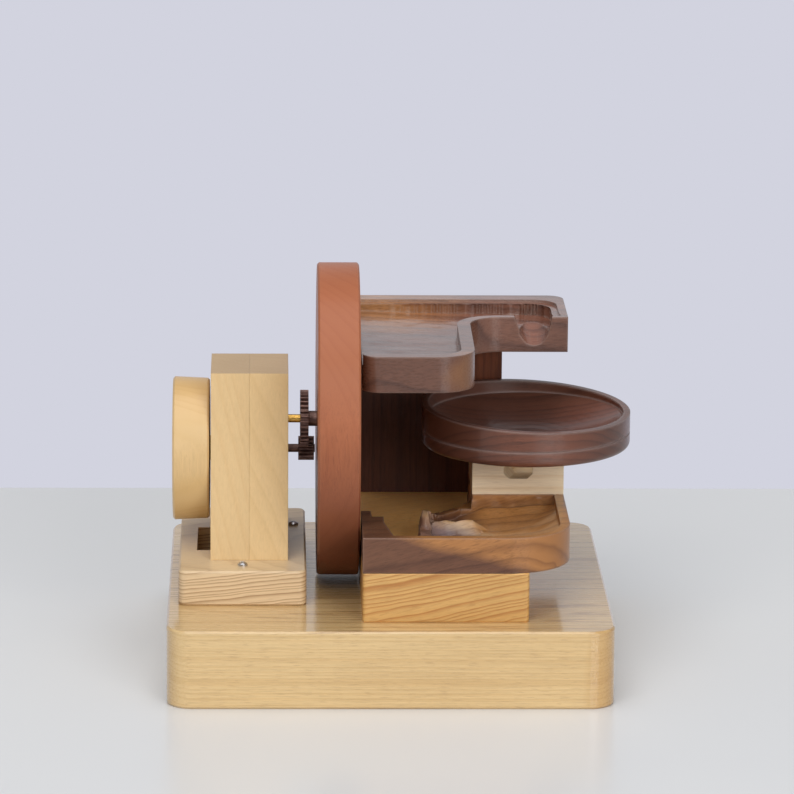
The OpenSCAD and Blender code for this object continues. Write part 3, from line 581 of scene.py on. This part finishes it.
def refined_copy(node, floor):
    """A node's mesh with closed seams, cut finely above a height, as a piece that stands for the node."""
    low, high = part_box(node)
    work = bmesh.new()
    work.from_mesh(nodes[node].data)
    bmesh.ops.remove_doubles(work, verts=work.verts, dist=SEAM)
    cut_across(work, 2, floor, high.z)
    cut_across(work, 0, low.x, high.x)
    cut_across(work, 1, low.y, high.y)
    bmesh.ops.triangulate(work, faces=work.faces)
    work.verts.index_update()
    mesh = bpy.data.meshes.new(node + "_carved")
    mesh.from_pydata([vertex.co for vertex in work.verts], [],
                     [[corner.index for corner in face.verts] for face in work.faces])
    work.free()
    mesh.materials.append(nodes[node].data.materials[0])
    piece = bpy.data.objects.new(node + "_carved", mesh)
    bpy.context.scene.collection.objects.link(piece)
    return piece


def carve(piece, move_at, low, high):
    """Moves a piece's vertices, with every move worked out before the first is made."""
    moves = [move_at(vertex.co, vertex.normal, low, high) for vertex in piece.data.vertices]
    for vertex, move in zip(piece.data.vertices, moves):
        vertex.co += move


def finish_carving(piece, node):
    """Smooths a carved piece and puts it in its node's place."""
    piece.data.shade_smooth()
    piece.data.set_sharp_from_angle(angle=SMOOTH_ANGLE)
    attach(piece, "frame")
    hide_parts(node)


def gouges(along, pitch):
    """Depth share of upright gouge cuts, uneven in width: 0 on the ridges and 1 in the hollows."""
    drift = noise.noise((along / (3 * pitch), 0.0, 0.0))
    return abs(math.sin(math.pi * (along / pitch + GOUGE_DRIFT * drift)))


def top_tray_move(place, normal, low, high):
    """Move of a vertex of the top tray: an uneven floor, and gouge cuts into the wall under the ledge."""
    depth = high.z - place.z
    if place.x <= low.x + TOP_LEFT or not TOP_RIM_DEPTH < depth < TOP_UNDER_DEPTH:
        return Vector()
    if normal.z > TOP_LEVEL and depth > TOP_FLOOR_DEPTH:
        swell = SWELL_HEIGHT * noise.noise(place / SWELL_GRAIN)
        ripple = RIPPLE_HEIGHT * noise.noise(place / RIPPLE_GRAIN)
        return Vector((0.0, 0.0, swell + ripple))
    at_back = place.y > high.y - LEDGE_REACH and normal.y < -LEDGE_FACING
    at_right = place.x > high.x - LEDGE_REACH and place.y > high.y - LEDGE_END
    at_end = at_right and normal.x < -LEDGE_FACING
    if (at_back or at_end) and abs(normal.z) < TOP_UPRIGHT:
        share = clamp((place.x - low.x - GOUGE_LEFT) / GOUGE_FADE)
        return -normal * (GOUGE_DEPTH * share * gouges(place.x - place.y, GOUGE_PITCH))
    return Vector()


def spout_flare(place, high):
    """Sideways move that opens the spout's rim raggedly."""
    across = place.x - high.x + SPOUT_INSET
    inward = place.y - high.y + ARM_DEPTH
    height = place.z - high.z + FLARE_HEIGHT
    reach = abs(across)
    if reach > FLARE_REACH or not -FLARE_FRONT < inward < FLARE_INWARD or height < 0.0:
        return 0.0
    swell = min(reach / SPOUT_HALF, (FLARE_REACH - reach) / (FLARE_REACH - SPOUT_HALF))
    share = swell * height / FLARE_HEIGHT * min(1.0, (FLARE_INWARD - inward) / FLARE_FADE)
    side = math.copysign(FLARE_SEED, across)
    ragged = 1.0 + FLARE_RAGGED * noise.noise((place.z / FLARE_GRAIN, place.y / FLARE_GRAIN, side))
    return math.copysign(FLARE_SIZE * share * ragged, across)


def carve_top_tray():
    """Gouge cuts under the ledge at the back and right, a hand-worked floor and a ragged spout."""
    low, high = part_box("top_tray")
    piece = refined_copy("top_tray", high.z - TOP_CUT_DEPTH)
    carve(piece, top_tray_move, low, high)
    for vertex in piece.data.vertices:
        vertex.co.x += spout_flare(vertex.co, high)
    finish_carving(piece, "top_tray")


def basin_lift(place, low):
    """Height of the rough scarp across the basin, falling to the right and fading towards the back."""
    across = place.x - low.x - SCARP_LEFT
    fall = 1.0 - SCARP_FALL * clamp(across / SCARP_LENGTH)
    ending = clamp((SCARP_LENGTH + SCARP_PAST - across) / SCARP_END)
    grain_x, grain_y = SCARP_WANDER_GRAIN
    wander = SCARP_WANDER * noise.noise((place.x / grain_x, place.y / grain_y, 0.0))
    behind = place.y - low.y - SCARP_DEPTH + wander
    rise = clamp(behind / SCARP_RUN + 0.5)
    fade = math.exp(-((max(0.0, behind) / SCARP_FADE) ** 2))
    lumps = 1.0 + SCARP_LUMPS * noise.noise(place / SCARP_GRAIN)
    return SCARP_HEIGHT * fall * ending * rise * fade * lumps


def basin_cove(place, low, high):
    """Lift that rounds the basin's floor up to its back and right walls, less higher up the walls."""
    back = low.y + BASIN_BACK - place.y
    right = high.x - TRAY_WALL - place.x
    corner = Vector((place.x - high.x + TRAY_CORNER, place.y - low.y - TRAY_CORNER))
    if corner.x > 0.0 and corner.y < 0.0:
        right = TRAY_CORNER - TRAY_WALL - corner.length
    if min(back, right) < -COVE_SLACK:
        return 0.0
    near = clamp(1.0 - min(back, right) / COVE_REACH)
    started = clamp((place.x - low.x - COVE_LEFT) / COVE_START)
    floor = BASIN_FLOOR + BASIN_RISE * max(0.0, place.x - low.x - STEP_RIGHT)
    below = (high.z - place.z) / (high.z - low.z - floor)
    return COVE_HEIGHT * started * near ** 2 * clamp(below)


def lower_tray_move(place, normal, low, high):
    """Move of a vertex of the lower tray: lumps, rough walls, the scarp and the cove."""
    within = low.x + LOWER_EDGE < place.x < high.x - LOWER_RIGHT and place.y > low.y + LOWER_EDGE
    if not within or not low.z + LOWER_UNDER < place.z < high.z - LOWER_RIM:
        return Vector()
    move = Vector()
    if normal.z > LOWER_LEVEL:
        near_step = clamp(1.0 - (place.x - low.x - LUMP_LEFT) / LUMP_FADE)
        lump = LUMP_HEIGHT * near_step * max(0.0, noise.noise(place / LUMP_GRAIN))
        move.z = lump + DIP_HEIGHT * noise.noise(place / DIP_GRAIN)
        if place.x > low.x + STEP_RIGHT:
            move.z += basin_lift(place, low)
    elif place.x < high.x - ROUGH_RIGHT and place.y > low.y + ROUGH_FRONT:
        move = normal * ROUGH_DEPTH * noise.noise(place / ROUGH_GRAIN)
        if normal.x - normal.y > BASIN_FACING and place.x > low.x + STEP_RIGHT - STEP_SLACK:
            below = (low.z + STEP_TOP - place.z) / (STEP_TOP - BASIN_FLOOR)
            move.z += clamp(below) * basin_lift(place, low)
    move.z += basin_cove(place, low, high)
    return move


def carve_lower_tray():
    """Lumpy, roughly cut step, and a basin with a scarp above its front gutter and a cove behind."""
    low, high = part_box("lower_tray")
    piece = refined_copy("lower_tray", low.z)
    carve(piece, lower_tray_move, low, high)
    finish_carving(piece, "lower_tray")


def floor_material():
    """Pale satin table with a faint cloudy unevenness."""
    graph = Graph("pale_floor")
    place = graph.add("TexCoord").outputs["Object"]
    cloud = graph.noise(place, FLOOR_CLOUD_SIZE, detail=3.0)
    colour = graph.mix(graph.span(cloud, *FLOOR_CLOUD_SPAN), srgb(*FLOOR_COLOUR), srgb(*FLOOR_CLOUD_COLOUR))
    graph.surface("Base Color", colour)
    graph.surface("Roughness", FLOOR_ROUGHNESS)
    graph.surface("Specular IOR Level", FLOOR_GLOSS)
    return graph.material


def backdrop_material():
    """Cool pale wall, seen and mirrored at its own colour."""
    graph = Graph("pale_backdrop")
    rays = graph.add("LightPath").outputs
    seen = graph.math("MAXIMUM", rays["Is Camera Ray"], rays["Is Glossy Ray"])
    seen = graph.math("MAXIMUM", seen, rays["Is Transmission Ray"])
    glow = graph.add("Emission", {"Color": srgb(*WALL_COLOUR), "Strength": 1.0})
    graph.surface("Base Color", srgb(*WALL_COLOUR))
    both = graph.add("MixShader", {0: seen, 1: graph.shader.outputs[0], 2: glow.outputs[0]})
    graph.feed(graph.tree.nodes["Material Output"].inputs["Surface"], both.outputs[0])
    return graph.material


def make_sheet(name, near, far, height, material):
    """A level stage sheet from one Y to another."""
    corners = [(-FLOOR_HALF, near, height), (FLOOR_HALF, near, height),
               (FLOOR_HALF, far, height), (-FLOOR_HALF, far, height)]
    mesh = bpy.data.meshes.new(name)
    mesh.from_pydata(corners, [], [(0, 1, 2, 3)])
    mesh.materials.append(material)
    sheet = bpy.data.objects.new(name, mesh)
    bpy.context.scene.collection.objects.link(sheet)


def make_floor():
    """The table, and the backdrop behind its far edge."""
    make_sheet("floor", -FLOOR_HALF, FLOOR_EDGE_Y, 0.0, floor_material())
    make_sheet("backdrop", FLOOR_EDGE_Y, FLOOR_HALF, -FLOOR_STEP, backdrop_material())


def make_lamp(name, place, size, power, colour):
    """A round lamp aimed at the machine."""
    lamp = bpy.data.lights.new(name, "AREA")
    lamp.shape = "DISK"
    lamp.size = size
    lamp.energy = power
    lamp.color = colour
    holder = bpy.data.objects.new(name, lamp)
    holder.location = place
    holder.rotation_euler = (Vector(AIM) - Vector(place)).to_track_quat("-Z", "Y").to_euler()
    bpy.context.scene.collection.objects.link(holder)


def make_light():
    """The lamps and the world round them."""
    for name, lamp in LAMPS.items():
        make_lamp(name, **lamp)
    world = bpy.data.worlds.new("studio")
    world.use_nodes = True
    backdrop = world.node_tree.nodes["Background"]
    backdrop.inputs["Color"].default_value = WORLD_COLOUR
    backdrop.inputs["Strength"].default_value = WORLD_STRENGTH
    bpy.context.scene.world = world


def make_camera():
    """The photograph's camera, from its place and its three angles."""
    forward = Vector((math.sin(CAMERA_YAW) * math.cos(CAMERA_PITCH),
                      math.cos(CAMERA_YAW) * math.cos(CAMERA_PITCH), -math.sin(CAMERA_PITCH)))
    level = Vector((math.cos(CAMERA_YAW), -math.sin(CAMERA_YAW), 0.0))
    upright = level.cross(forward)
    right = math.cos(CAMERA_ROLL) * level + math.sin(CAMERA_ROLL) * upright
    up = right.cross(forward)
    lens = bpy.data.cameras.new("camera")
    lens.lens = CAMERA_LENS
    lens.sensor_width = CAMERA_SENSOR
    lens.clip_end = CAMERA_CLIP
    holder = bpy.data.objects.new("camera", lens)
    turn = Matrix((right, up, -forward)).transposed().to_4x4()
    holder.matrix_world = Matrix.Translation(CAMERA_PLACE) @ turn
    bpy.context.scene.collection.objects.link(holder)
    bpy.context.scene.camera = holder


make_camera()
dress_pale_woods()
dress_dark_woods()
dress_metals()
carve_top_tray()
carve_lower_tray()
make_floor()
make_light()
bpy.context.scene.view_settings.view_transform = "Standard"
